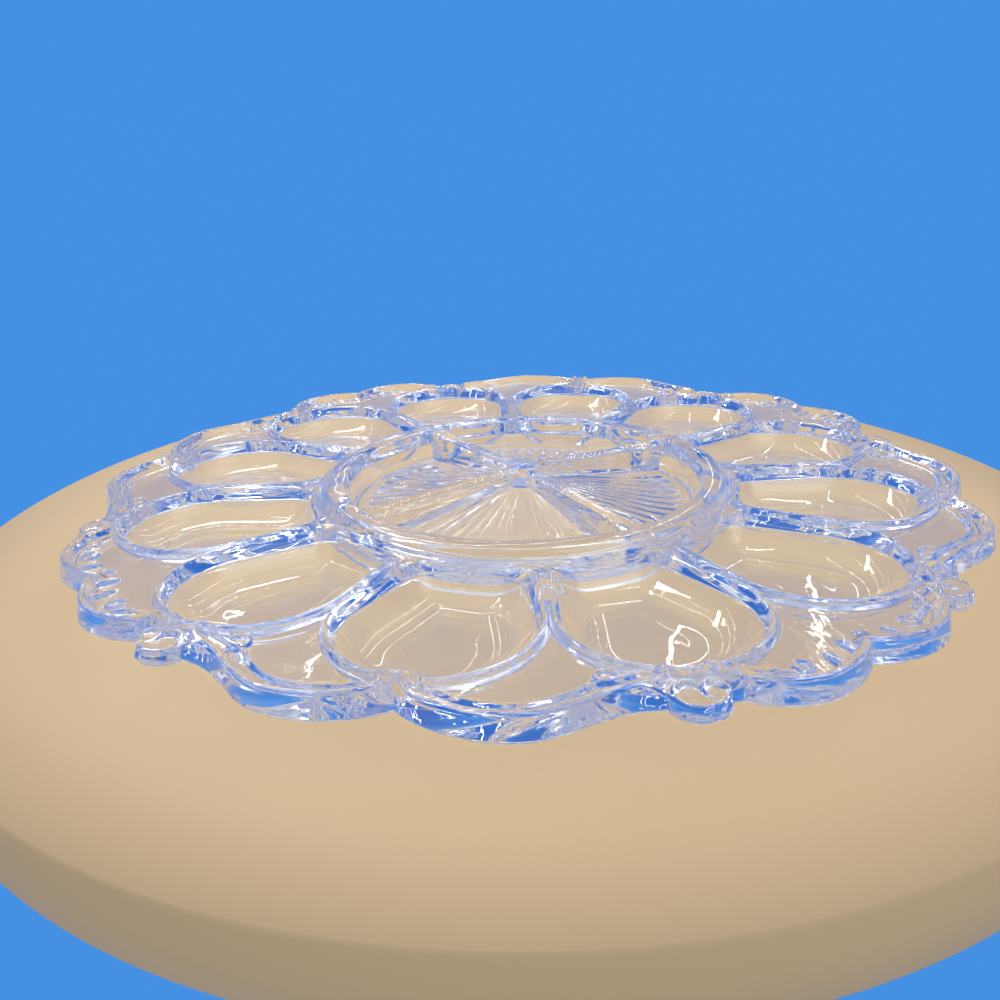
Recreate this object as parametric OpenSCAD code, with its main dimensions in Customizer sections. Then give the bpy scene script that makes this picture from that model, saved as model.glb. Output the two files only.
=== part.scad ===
// Deviled egg platter in clear pressed glass.
// Twelve egg-shaped wells stand round a ribbed centre dish, inside a scalloped scroll rim.
// The real platter is one pressing. Here it is divided along its own features, so that each
// well, divider, rib, lobe and ornament is a solid of its own, face to face with the next.
// Origin: centre of the foot ring, on the table. The first well lies along -Y. +Z is up.

/* [Overall] */
// Diameter over the widest rim lobes
plate_d = 280; // [262:1:320]
// Width of the rim, from a well's outer end to the crest of the widest lobe
rim_w = 16.8; // [14.5:0.1:22]
// Gap between the table and the underside of the wells
well_lift = 2; // [1:0.1:4]
// Thickness of the wells' floors
well_floor_t = 3.5; // [2.5:0.1:4.5]

/* [Egg wells] */
// Length of a well inside its lip, from its inner to its outer end
well_len = 55.4; // [52:0.1:57.5]
// Depth of a well, from its lip to its floor
well_depth = 9; // [7.5:0.1:11]
// Width of the lip that runs round a well
lip_w = 2; // [1.4:0.1:2.4]
// Least width of glass between two wells
divider_w = 5.6; // [5:0.1:7]
// Width of glass between two wells at their inner ends
divider_root_w = 7.8; // [6.5:0.1:9]
// Radius of a well's two inner corners, seen from above
well_corner_r = 9; // [8:0.1:10]
// How far a well's wall leans in from lip to floor
wall_lean = 3.2; // [2:0.1:4]
// Radius of the curve between a well's wall and its floor
floor_fillet = 3; // [2:0.1:3.6]
// Thickness of a well's wall below the rim plate
wall_t = 3.2; // [2.6:0.1:3.8]
// Height of the rounded crown on the lips and dividers
crown_h = 0.8; // [0.4:0.1:1.2]

/* [Centre dish] */
// Width of the flat top of the raised ring
ring_w = 7.4; // [6:0.1:9]
// Height of the raised ring over the wells' lips
ring_rise = 2; // [1:0.1:3]
// Width of the collar between the raised ring and the dividers
collar_w = 6; // [5:0.1:7]
// Least width of the collar between the raised ring and a well's lip
collar_least = 0.8; // [0.6:0.1:1.5]
// Depth of the collar's top below the wells' lips
collar_drop = 1.2; // [0.6:0.1:2]
// How far the raised ring's inner wall leans in
ring_lean = 2.6; // [1.6:0.1:3.4]
// Thickness of the dish's floor
dish_t = 3.6; // [3:0.1:4.5]
// Height of the dish's floor over the table at its rim
dish_z = 6.4; // [5.8:0.1:7.5]
// Rise of the dish's floor from its rim to the centre
dish_rise = 7; // [5:0.1:8]
// Width of the dish's level outer part
dish_flat_w = 9; // [6:0.5:12]
// Width of a rib
rib_w = 4.6; // [3.6:0.1:6]
// Height of the centre boss over the wells' lips
boss_rise = 4; // [3:0.1:5]
// Diameter of the centre boss
boss_d = 11; // [9:0.5:13]
// Drop of a rib's top from the boss to the ring
rib_fall = 2.4; // [2:0.1:3]
// Spacing of the fine notches along a rib
notch_pitch = 2.6; // [2.2:0.1:4]
// Depth of a notch
notch_depth = 0.7; // [0.4:0.1:1]
// Width of a fan flute at its outer end
flute_w = 5; // [3:0.1:6]
// Depth of a fan flute at its outer end
flute_depth = 0.7; // [0.3:0.1:1]

/* [Foot] */
// Height of the foot ring
foot_h = 5; // [4.2:0.1:5.4]
// Width of the foot ring where it rests
foot_w = 4; // [3:0.1:4.6]
// How far the foot ring stands in from the raised ring's outer edge
foot_inset = 1.8; // [1:0.1:2.6]
// Radius of the foot ring's lower edges
foot_edge_r = 0.8; // [0.4:0.1:1.2]

/* [Rim] */
// Depth of the rim's underside below the lips
rim_drop = 5.5; // [4.5:0.1:6.2]
// Depth of the flat plate between wells and rim below the lips
plate_drop = 1.6; // [1:0.1:2.2]
// Height of the outer bead over the lips
bead_rise = 1; // [0.5:0.1:2]
// Width of the outer bead
bead_w = 4.2; // [3:0.1:5]
// Width of the narrow second bead
line_w = 1.6; // [1:0.1:2]
// Gap between the two beads
bead_gap = 1.6; // [1:0.1:2]
// Depth of the notch at a shell crest, from the lobe's crest
crest_notch = 10; // [8:0.1:11]
// Depth of the smooth hollow beside a scroll
ogee_notch = 9; // [7.5:0.1:10]
// Depth of the notch on the far side of a scroll
scroll_notch = 7; // [5:0.1:8]
// Depth of the notch at a leaf spray
leaf_notch = 5.5; // [4:0.1:7]
// How much lower the ogee lobes reach than the plain lobes
ogee_short = 1.3; // [0:0.1:2]

/* [Ornament] */
// Diameter of a scroll
scroll_d = 13.6; // [12.4:0.1:14.4]
// How far a scroll's crest stands in from the crest of the widest lobe
scroll_set_in = 2.4; // [1.5:0.1:3]
// Diameter of the round bar of a scroll's curl
curl_t = 2.4; // [1.8:0.1:2.8]
// Diameter of the bead in the middle of a scroll
scroll_bead_d = 3.6; // [2.6:0.1:4]
// Length of a leaf
leaf_len = 7.5; // [6:0.1:9]
// Width of a leaf
leaf_w = 2.8; // [2.2:0.1:3.4]
// Height of a leaf over the plate
leaf_h = 1.3; // [0.8:0.1:1.6]
// Diameter of a small curl beside the leaves
small_curl_d = 5; // [4.4:0.1:5.6]
// Thickness of a small curl
small_curl_t = 1.6; // [1.2:0.1:1.8]
// Diameter of a shell rib
shell_rib_d = 1.9; // [1.5:0.1:2.2]
// Width of a shell crest at its outer end
shell_w = 12; // [9:0.1:14]

/* [Hidden] */
$fn = 96;

// Counts that the pressing's pattern fixes
well_count = 12;
quarter_count = 4;
well_step = 360 / well_count;
half_step = well_step / 2;
quarter = 360 / quarter_count;

// Heights over the table
lip_z = well_lift + well_floor_t + well_depth;
well_floor_z = well_lift + well_floor_t;
plate_z = lip_z - plate_drop;
rim_z = lip_z - rim_drop;
bead_z = lip_z + bead_rise;
dish_under_z = dish_z - dish_t;
ring_z = lip_z + ring_rise;
collar_z = lip_z - collar_drop;
boss_z = lip_z + boss_rise;
rib_end_z = boss_z - crown_h - rib_fall;

// Radii from the centre
plate_r = plate_d / 2;
well_out_x = plate_r - rim_w;
ring_r = well_out_x - well_len - lip_w - collar_least;
ring_in_r = ring_r - ring_w;
dish_r = ring_in_r - ring_lean;
dish_cone_r = dish_r - dish_flat_w;
collar_r = ring_r + collar_w;
foot_r = ring_r - foot_inset;
boss_r = boss_d / 2;
overrun = crown_h;
seam = 0.02;
lap = 0.3;

// A well's outline: one large circle outwards and two corner circles inwards.
// The divider between two wells keeps its widths because each circle stops short of it.
well_cx = (well_out_x + divider_w / 2) / (1 + sin(half_step));
well_r = well_out_x - well_cx;
corner_x = ring_r + collar_least + lip_w + well_corner_r;
corner_y = (corner_x * sin(half_step) - well_corner_r - divider_root_w / 2) / cos(half_step);
WELL = [[well_cx, 0, well_r], [corner_x, corner_y, well_corner_r], [corner_x, -corner_y, well_corner_r]];
floor_reach = wall_lean + floor_fillet;
split_r = norm([well_cx, well_r]) + divider_w;

// Angles in one eighth of the rim, from a shell crest at 0 to a leaf spray at 45 degrees
scroll_at = 27;
ogee_crest_at = 10.5;
ogee_end_at = 22;
plain_start_at = 31;
leaf_at = quarter / 2;
rim_step = 1.5;
scroll_r = scroll_d / 2;
scroll_cr = plate_r - scroll_set_in - scroll_r;
leaf_tip_r = plate_r - leaf_notch - crown_h;
curl_at = 6;

// Names and numbers
function two(k) = k < 10 ? str("0", k) : str(k);
function on_circle(r, a) = [r * cos(a), r * sin(a)];

// Direction of the line that touches circles a and b on their outside, as its outward normal
function touch(a, b) =
    atan2(b[1] - a[1], b[0] - a[0]) - 90 + asin((a[2] - b[2]) / norm([b[0] - a[0], b[1] - a[1]]));
function touch_len(a, b) = sqrt(pow(norm([b[0] - a[0], b[1] - a[1]]), 2) - pow(a[2] - b[2], 2));
function next_of(k) = (k + 1) % len(WELL);
function prev_of(k) = (k + len(WELL) - 1) % len(WELL);
function normal_after(k) = touch(WELL[k], WELL[next_of(k)]);
function wrap_angle(a) = a - 360 * floor(a / 360);

// Radius of the rim's outline at angle a from a shell crest, inside one eighth
function eighth(a) =
    a < ogee_crest_at ? plate_r - crest_notch
        + (crest_notch - ogee_short) * pow(sin(90 * a / ogee_crest_at), 0.8) :
    a < ogee_end_at ? plate_r - ogee_notch + (ogee_notch - ogee_short)
        * (0.5 + 0.5 * cos(180 * (a - ogee_crest_at) / (ogee_end_at - ogee_crest_at))) :
    a < plain_start_at ? plate_r - ogee_notch
        + (ogee_notch - scroll_notch) * (a - ogee_end_at) / (plain_start_at - ogee_end_at) :
    plate_r - plain_depth(a) * (1 - pow(sin(180 * (a - plain_start_at) / (leaf_at - plain_start_at)), 0.8));
function plain_depth(a) =
    scroll_notch + (leaf_notch - scroll_notch) * (a - plain_start_at) / (leaf_at - plain_start_at);
function folded(a) = let (b = wrap_angle(a) % quarter) b > leaf_at ? quarter - b : b;
function outline_r(a) = eighth(folded(a));

// Turns a child from the +X direction to feature k of n, counted from -Y
module at_step(k, step) {
    rotate([0, 0, k * step - 90]) children();
}

// Wall that follows a well's outline. The profile holds [distance outwards from the outline, height]
// points, with those of its inner face first. The straight stretches lap into the rounds. They are thicker
// by a seam on each face and stand a seam higher, so that no face of theirs lies in a face of the rounds.
module along_well(inner, outer) {
    for (k = [0:len(WELL) - 1]) {
        c = WELL[k];
        start = normal_after(prev_of(k));
        run = touch_len(c, WELL[next_of(k)]) + 2 * lap;
        translate([c[0], c[1], 0]) rotate([0, 0, start])
            rotate_extrude(angle = wrap_angle(normal_after(k) - start))
                polygon([for (p = concat(inner, outer)) p + [c[2], 0]]);
        translate([c[0], c[1], 0]) rotate([0, 0, normal_after(k)]) translate([c[2], run - lap, 0])
            rotate([90, 0, 0]) linear_extrude(run)
                polygon(concat([for (p = inner) p + [-seam, seam]], [for (p = outer) p + [seam, seam]]));
    }
}

// Outline of a well moved inwards by a distance, with coarse corners that its wall covers
corner_parts = 8;
module well_polygon(inset) {
    polygon([for (k = [0:len(WELL) - 1])
        let (start = normal_after(prev_of(k)), turn = wrap_angle(normal_after(k) - start))
        each [for (i = [1:corner_parts]) [WELL[k][0], WELL[k][1]]
            + on_circle(WELL[k][2] - inset, start + turn * (i - 0.5) / corner_parts)]]);
}

// Points of an arc round c with half-widths w and h, from angle a to angle b
arc_parts = 5;
function arc(c, w, h, a, b) = [for (i = [0:arc_parts]) let (t = a + (b - a) * i / arc_parts)
    [c[0] + w * cos(t), c[1] + h * sin(t)]];

// The space that a well and its lip take up, as one upright block
module well_space() {
    for (c = WELL) translate([c[0], c[1], 0]) cylinder(r = c[2] + lip_w, h = boss_z);
    linear_extrude(boss_z) polygon([for (k = [0:len(WELL) - 1])
        let (a = normal_after(k), run = touch_len(WELL[k], WELL[next_of(k)]))
        let (middle = [WELL[k][0], WELL[k][1]], side = WELL[k][2] + lip_w + seam)
        each [for (d = [-lap, run + lap]) middle + on_circle(side, a) + on_circle(d, a + 90)]]);
}

module well_spaces_beside(angles) {
    for (a = angles) rotate([0, 0, a]) well_space();
}

// One egg well: floor, leaning wall, rounded corners and the crown of its lip
module egg_well() {
    wall_foot = wall_t - wall_lean;
    foot_z = well_floor_z - 2 * seam;
    crown_w = lip_w - crown_h / 2;
    outer = concat(
        arc([wall_foot - floor_fillet, well_lift + floor_fillet], floor_fillet, floor_fillet, -90, 0),
        [[lip_w, rim_z], [lip_w, lip_z]]);
    inner = concat(
        arc([crown_w, lip_z - crown_h], crown_w, crown_h, 90, 180),
        arc([-floor_reach, foot_z + floor_fillet], floor_fillet, floor_fillet, 0, -90),
        [[-floor_reach, well_lift]]);
    color([0.84, 0.91, 0.95]) {
        along_well(inner, outer);
        translate([0, 0, well_lift]) linear_extrude(well_floor_t)
            well_polygon(floor_reach - floor_fillet / 2);
    }
}

// Lens-shaped bar of glass between two wells, out to where their lips part
module well_divider() {
    reach_angle = half_step / 3;
    color([0.7, 0.83, 0.93]) difference() {
        rotate([0, 0, -reach_angle]) rotate_extrude(angle = 2 * reach_angle)
            polygon(concat([[split_r, rim_z]],
                arc([split_r - crown_h, lip_z - crown_h], crown_h, crown_h, 0, 90),
                arc([collar_r + crown_h, lip_z - crown_h], crown_h, crown_h, 90, 180),
                [[collar_r, rim_z]]));
        well_spaces_beside([-half_step, half_step]);
    }
}

// Foot that the platter stands on, with its lower edges rounded
module foot_ring() {
    foot_in_r = foot_r - foot_w;
    color([0.62, 0.76, 0.88]) rotate_extrude()
        polygon(concat(arc([foot_in_r + foot_edge_r, foot_edge_r], foot_edge_r, foot_edge_r, 180, 270),
            arc([foot_r - foot_edge_r, foot_edge_r], foot_edge_r, foot_edge_r, 270, 360),
            [[foot_r, foot_h], [foot_in_r, foot_h]]));
}

// Ring round the centre dish, with the collar that the wells' inner ends are let into
module raised_ring() {
    foot_in_r = foot_r - foot_w;
    color([0.72, 0.82, 0.92]) difference() {
        rotate_extrude()
            polygon(concat([[dish_r, dish_under_z], [foot_in_r, dish_under_z], [foot_in_r, foot_h],
                [foot_r, foot_h], [ring_r, rim_z], [collar_r, rim_z], [collar_r, collar_z],
                [ring_r, collar_z]],
                arc([ring_r - crown_h, ring_z - crown_h], crown_h, crown_h, 0, 90),
                arc([ring_in_r + crown_h, ring_z - crown_h], crown_h, crown_h, 90, 180),
                [[dish_r, dish_z]]));
        well_spaces_beside([for (k = [0:well_count - 1]) k * well_step]);
    }
}

// Boss where the four ribs meet
module centre_boss() {
    under = dish_under_z + dish_rise;
    color([0.8, 0.88, 0.94]) rotate_extrude()
        polygon(concat([[0, under], [boss_r, under]],
            arc([boss_r / 2, boss_z - crown_h], boss_r / 2, crown_h, 0, 90), [[0, boss_z]]));
}

// One notched rib, from the boss to the raised ring
module centre_rib() {
    rib_top_z = boss_z - crown_h;
    notch_w = notch_depth * 2;
    rib_len = ring_in_r - boss_r;
    color([0.66, 0.8, 0.92]) difference() {
        intersection() {
            rotate([0, 0, -half_step]) rotate_extrude(angle = 2 * half_step)
                polygon([[boss_r, dish_under_z + dish_rise], [dish_cone_r, dish_under_z],
                    [dish_r, dish_under_z], [dish_r, dish_z], [ring_at(rib_end_z), rib_end_z],
                    [boss_r, rib_top_z]]);
            translate([0, -rib_w / 2, 0]) cube([ring_r, rib_w, boss_z]);
        }
        for (x = [boss_r + notch_pitch:notch_pitch:dish_r - notch_pitch])
            translate([x, 0, rib_top_z - rib_fall * (x - boss_r) / rib_len])
                rotate([0, 45, 0])
                    cube([notch_w / sqrt(2), rib_w + overrun, notch_w / sqrt(2)], center = true);
    }
}
function ring_at(z) = dish_r + ring_lean * (z - dish_z) / (ring_z - crown_h - dish_z);

// One quarter of the centre dish: a level outer part, a cone up to the boss, and its fan of flutes
flute_count = 7;
module centre_dish() {
    fan = quarter - 2 * half_step;
    cone_len = norm([dish_cone_r - boss_r, dish_rise]);
    cone_tilt = atan2(dish_rise, dish_cone_r - boss_r);
    flute_r = (pow(flute_w / 2, 2) + pow(flute_depth, 2)) / (2 * flute_depth);
    color([0.88, 0.93, 0.96]) difference() {
        rotate([0, 0, -leaf_at]) rotate_extrude(angle = quarter)
            polygon([[boss_r, dish_under_z + dish_rise], [dish_cone_r, dish_under_z], [dish_r, dish_under_z],
                [dish_r, dish_z], [dish_cone_r, dish_z], [boss_r, dish_z + dish_rise]]);
        for (a = [-leaf_at, leaf_at]) rotate([0, 0, a])
            translate([0, -rib_w / 2, 0]) cube([ring_r, rib_w, boss_z]);
        for (i = [0:flute_count - 1]) rotate([0, 0, fan * (i / (flute_count - 1) - 0.5)])
            translate([dish_cone_r, 0, dish_z]) rotate([0, -90 + cone_tilt, 0])
                translate([flute_r - flute_depth, 0, 0])
                    cylinder(r1 = flute_r, r2 = flute_r - flute_depth, h = cone_len);
    }
}

// Outline of a stretch of the rim between two angles, drawn in by a distance
function rim_points(from, to, inset) = [for (i = [0:ceil((to - from) / rim_step)])
    let (a = min(to, from + i * rim_step)) on_circle(outline_r(a) - inset, a)];

module rim_band(from, to, outer, inner, low, high) {
    translate([0, 0, low]) linear_extrude(high - low)
        polygon(concat(rim_points(from, to, outer), list_back(rim_points(from, to, inner))));
}
function list_back(list) = [for (i = [len(list) - 1:-1:0]) list[i]];

// A stretch of rim: flat plate, outer bead with a stepped crown, and a narrow second bead
module rim_stretch(from, to) {
    line_at = bead_w + bead_gap;
    difference() {
        translate([0, 0, rim_z]) linear_extrude(plate_z - rim_z)
            polygon(concat(rim_points(from, to, 0), [[0, 0]]));
        translate([0, 0, rim_z - overrun]) cylinder(r = split_r, h = boss_z);
    }
    rim_band(from, to, 0, bead_w, plate_z, bead_z - crown_h);
    rim_band(from, to, crown_h, bead_w - crown_h, bead_z - crown_h, bead_z);
    rim_band(from, to, line_at, line_at + line_w, plate_z, lip_z);
}

module scroll_space() {
    translate([scroll_cr, 0, 0]) cylinder(r = scroll_r, h = boss_z);
}

// Rim from scroll to scroll across a shell crest, with its two ogee lobes
module ogee_rim() {
    color([0.78, 0.87, 0.94]) difference() {
        rim_stretch(-scroll_at, scroll_at);
        well_spaces_beside([-well_step, 0, well_step]);
        for (a = [-scroll_at, scroll_at]) rotate([0, 0, a]) scroll_space();
        shell_space();
    }
}

// Rim from scroll to scroll across a leaf spray, with its two plain lobes
module leaf_rim() {
    color([0.74, 0.85, 0.94]) difference() {
        rim_stretch(scroll_at, quarter - scroll_at);
        well_spaces_beside([well_step, quarter - well_step]);
        for (a = [scroll_at, quarter - scroll_at]) rotate([0, 0, a]) scroll_space();
        leaf_space();
    }
}

// Where the beads stop to make room for a shell crest
module shell_space() {
    translate([well_out_x, -shell_w / 2, plate_z]) cube([rim_w, shell_w, boss_z]);
}

// Fan of ribs between the first notch of the rim and the well's lip
shell_ribs = 5;
module shell_crest() {
    shell_base_z = plate_z + (bead_z - plate_z) / 2;
    fan_x = well_out_x - shell_w / 2;
    fan_angle = 2 * atan2(shell_w / 2, rim_w + lip_w);
    color([0.66, 0.8, 0.93]) difference() {
        intersection() {
            translate([0, 0, plate_z]) linear_extrude(boss_z - plate_z)
                polygon(concat(rim_points(-rim_step * 1.5, rim_step * 1.5, crown_h),
                    [[well_out_x, shell_w / 4], [well_out_x, -shell_w / 4]]));
            union() {
                translate([well_out_x, -shell_w / 2, plate_z]) cube([rim_w, shell_w, shell_base_z - plate_z]);
                for (i = [0:shell_ribs - 1])
                    translate([fan_x, 0, shell_base_z])
                        rotate([0, 90, fan_angle * (i / (shell_ribs - 1) - 0.5)])
                            cylinder(d = shell_rib_d, h = rim_w + shell_w);
            }
        }
        well_space();
    }
}

// Where the beads stop to make room for a leaf spray
module leaf_space() {
    fan = leaf_step * (leaf_count - 1) / 2;
    outer_tip = on_circle(outline_r(leaf_at + fan), fan);
    clear_r = norm(outer_tip - [leaf_tip_r, 0]) + leaf_w;
    rotate([0, 0, leaf_at]) translate([leaf_tip_r, 0, plate_z]) cylinder(r = clear_r, h = boss_z);
}

// One pointed leaf lying along +X, with its outer tip at the origin
module leaf() {
    side_r = (pow(leaf_len, 2) + pow(leaf_w, 2)) / (4 * leaf_w);
    translate([-leaf_len / 2, 0, plate_z]) intersection() {
        translate([0, side_r - leaf_w / 2, 0]) cylinder(r = side_r, h = leaf_h);
        translate([0, leaf_w / 2 - side_r, 0]) cylinder(r = side_r, h = leaf_h);
        translate([-leaf_len, -leaf_w, 0]) cube([2 * leaf_len, 2 * leaf_w, leaf_h]);
    }
}

// Four leaves in front of a notch of the rim, with a small open curl on each side
leaf_count = 4;
leaf_step = 3;
curl_turn = 270;
module leaf_spray() {
    bar_r = small_curl_t / 2;
    path_r = small_curl_d / 2 - bar_r;
    color([0.62, 0.78, 0.93]) {
        for (i = [0:leaf_count - 1]) let (a = (i - (leaf_count - 1) / 2) * leaf_step)
            rotate([0, 0, leaf_at + a]) translate([outline_r(leaf_at + a) - crown_h, 0, 0]) leaf();
        for (s = [-1, 1]) rotate([0, 0, leaf_at + s * curl_at])
            translate([leaf_tip_r - leaf_len, 0, plate_z]) rotate([0, 0, s > 0 ? curl_turn : 0])
                rotate_extrude(angle = curl_turn) translate([path_r, 0]) intersection() {
                    circle(r = bar_r);
                    translate([-bar_r, 0]) square([2 * bar_r, bar_r]);
                }
    }
}

// Scroll that parts an ogee lobe from a plain lobe: a round base, an open curl and a bead.
// The side is 1 where the nearest well lies further round, and -1 where it lies behind.
module rim_scroll(side) {
    bar_r = curl_t / 2;
    path_r = scroll_r - curl_t;
    color([0.58, 0.74, 0.92]) difference() {
        rotate([0, 0, side * scroll_at]) translate([scroll_cr, 0, 0]) {
            translate([0, 0, rim_z]) cylinder(r = scroll_r, h = lip_z - rim_z);
            translate([0, 0, lip_z]) rotate([0, 0, side * curl_turn / 2]) rotate_extrude(angle = curl_turn)
                translate([path_r, 0]) intersection() {
                    circle(r = bar_r);
                    translate([-bar_r, 0]) square([2 * bar_r, bar_r]);
                }
            translate([0, 0, lip_z]) difference() {
                sphere(d = scroll_bead_d);
                translate([0, 0, -scroll_r]) cylinder(r = scroll_r, h = scroll_r);
            }
        }
        rotate([0, 0, side * well_step]) well_space();
    }
}

foot_ring();
raised_ring();
centre_boss();
for (k = [1:quarter_count]) {
    at_step(k - 0.5, quarter) centre_rib();
    at_step(k - 1, quarter) centre_dish();
    at_step(k - 1, quarter) ogee_rim();
    at_step(k - 1, quarter) leaf_rim();
    at_step(k - 1, quarter) shell_crest();
    at_step(k - 1, quarter) leaf_spray();
    at_step(k - 1, quarter) rim_scroll(1);
    at_step(k, quarter) rim_scroll(-1);
}
for (k = [1:well_count]) {
    at_step(k - 1, well_step) egg_well();
    at_step(k - 0.5, well_step) well_divider();
}
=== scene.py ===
"""Deviled egg platter in clear pressed glass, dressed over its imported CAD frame.

Every piece but the foot is a closed block of glass between two height fields, top and underside,
which are functions of the place on the platter. Pieces that meet share the same fields, and the
faces where they meet are clear, so that light passes from one to the next as in one pressing.
"""
import math
from types import SimpleNamespace

import bpy
import numpy as np
from mathutils import Matrix, Vector


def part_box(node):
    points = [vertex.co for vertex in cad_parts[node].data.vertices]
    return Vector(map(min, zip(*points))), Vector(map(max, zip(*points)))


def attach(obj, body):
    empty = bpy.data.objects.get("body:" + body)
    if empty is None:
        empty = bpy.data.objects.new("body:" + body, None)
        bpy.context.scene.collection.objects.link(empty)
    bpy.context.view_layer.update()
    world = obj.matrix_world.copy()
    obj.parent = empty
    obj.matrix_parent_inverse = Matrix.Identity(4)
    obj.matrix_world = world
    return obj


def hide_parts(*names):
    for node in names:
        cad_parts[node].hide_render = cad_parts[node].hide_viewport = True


bl_info = {
    "name": "Deviled Egg Platter",
    "version": (1, 0, 0),
    "blender": (4, 5, 0),
    "location": "3D View > Sidebar > Platter",
    "description": "Builds a pressed-glass platter with twelve egg wells and a scalloped scroll rim",
    "category": "Add Mesh",
}

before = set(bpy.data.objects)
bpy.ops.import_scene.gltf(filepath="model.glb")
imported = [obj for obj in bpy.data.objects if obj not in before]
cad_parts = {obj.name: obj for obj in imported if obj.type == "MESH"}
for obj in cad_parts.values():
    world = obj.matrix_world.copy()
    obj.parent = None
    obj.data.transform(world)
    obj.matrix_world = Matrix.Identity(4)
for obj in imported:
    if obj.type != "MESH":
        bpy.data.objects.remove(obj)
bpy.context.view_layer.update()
MM = 0.001
HIGHEST = max(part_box("centre_boss")[1].z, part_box("raised_ring")[1].z)


# Settings

def length(name, text, default):
    """A length in metres that a user can change."""
    return bpy.props.FloatProperty(
        name=name, description=text, default=default, subtype="DISTANCE", unit="LENGTH", precision=4)


def number(name, text, default):
    """A plain number that a user can change."""
    return bpy.props.FloatProperty(name=name, description=text, default=default)


def colour(name, text, default):
    """A plain colour that a user can change."""
    return bpy.props.FloatVectorProperty(
        name=name, description=text, default=default, size=3, min=0.0, max=1.0, subtype="COLOR")


class PlatterWellSizes(bpy.types.PropertyGroup):
    """Sizes of the egg wells and of the glass between them."""
    well_out: length("Wells' outer end", "Distance from the centre to a well's outer end", 0.1232)
    well_len: length("Well length", "Length of a well inside its lip", 0.0554)
    divider_w: length("Divider width", "Least width of glass between two wells", 0.0056)
    root_w: length("Divider root", "Width of a divider at its inner end", 0.0078)
    corner_r: length("Corner radius", "Radius of a well's two inner corners", 0.009)
    lip_w: length("Lip width", "Width of the lip round a well", 0.002)
    lip_z: length("Lip height", "Height of the lips over the table", 0.0145)
    floor_z: length("Floor height", "Height of a well's floor over the table", 0.0055)
    under_z: length("Underside height", "Height of a well's underside over the table", 0.002)
    bowl_run: length("Bowl run", "How far in from the lip a well's wall has curved into its floor", 0.0135)
    crown: length("Lip crown", "Rise of the rounded lip", 0.0011)


class PlatterDishSizes(bpy.types.PropertyGroup):
    """Sizes of the centre dish, its ring, ribs and boss, and of the foot."""
    ring_r: length("Ring radius", "Outer radius of the raised ring", 0.065)
    ring_w: length("Ring width", "Width of the ring's flat top", 0.0074)
    ring_z: length("Ring height", "Height of the ring's top over the table", 0.0165)
    dish_r: length("Dish radius", "Radius of the centre dish at its floor", 0.055)
    cone_r: length("Cone radius", "Radius where the dish starts to rise", 0.046)
    dish_z: length("Dish height", "Height of the dish's level floor", 0.0064)
    dish_rise: length("Dish rise", "Rise of the dish from its floor to the boss", 0.007)
    dish_t: length("Dish thickness", "Thickness of the dish", 0.0036)
    rib_w: length("Rib width", "Width of a rib", 0.0046)
    boss_r: length("Boss radius", "Radius of the centre boss", 0.0055)
    boss_z: length("Boss height", "Height of the boss over the table", HIGHEST)
    collar_r: length("Collar radius", "Outer radius of the collar round the ring", 0.071)
    collar_z: length("Collar height", "Height of the collar over the table", 0.0133)
    foot_r: length("Foot radius", "Outer radius of the foot ring", 0.0632)
    foot_w: length("Foot width", "Width of the foot ring", 0.004)
    foot_h: length("Foot height", "Height of the foot ring", 0.005)
    flute_step: number("Flute spacing", "Angle between two fan flutes, in degrees", 6.0)
    notch_pitch: length("Notch pitch", "Spacing of the fine notches along a rib", 0.0014)


class PlatterRimSizes(bpy.types.PropertyGroup):
    """Sizes of the scalloped rim and its ornament."""
    plate_r: length("Platter radius", "Radius over the widest lobes", 0.1399)
    split_r: length("Spandrel radius", "Radius where the lips of two wells part", 0.10827)
    plate_z: length("Plate height", "Height of the plate between wells and rim", 0.0129)
    rim_z: length("Rim underside", "Height of the rim's underside over the table", 0.009)
    bead_z: length("Bead height", "Height of the outer bead over the table", 0.0155)
    crest_notch: length("Crest notch", "Depth of the notch at a shell crest", 0.010)
    ogee_notch: length("Ogee hollow", "Depth of the smooth hollow beside a scroll", 0.009)
    scroll_notch: length("Scroll notch", "Depth of the notch on the far side of a scroll", 0.007)
    leaf_notch: length("Leaf notch", "Depth of the notch at a leaf spray", 0.0055)
    ogee_short: length("Ogee shortfall", "How much lower the ogee lobes reach", 0.0013)
    scroll_r: length("Scroll radius", "Radius of a scroll", 0.0068)
    scroll_cr: length("Scroll place", "Distance of a scroll's middle from the centre", 0.1308)
    leaf_len: length("Leaf length", "Length of a leaf", 0.0078)
    leaf_w: length("Leaf width", "Width of a leaf", 0.0030)
    leaf_h: length("Leaf height", "Height of a leaf over the plate", 0.0016)


class PlatterGlassFinish(bpy.types.PropertyGroup):
    """Look of the glass."""
    tint: colour("Glass tint", "Colour of light that has passed through the glass", (0.990, 0.995, 0.995))
    shade: colour("Shadow tint", "Colour of the lamps' light below the glass", (0.965, 0.975, 0.985))


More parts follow.
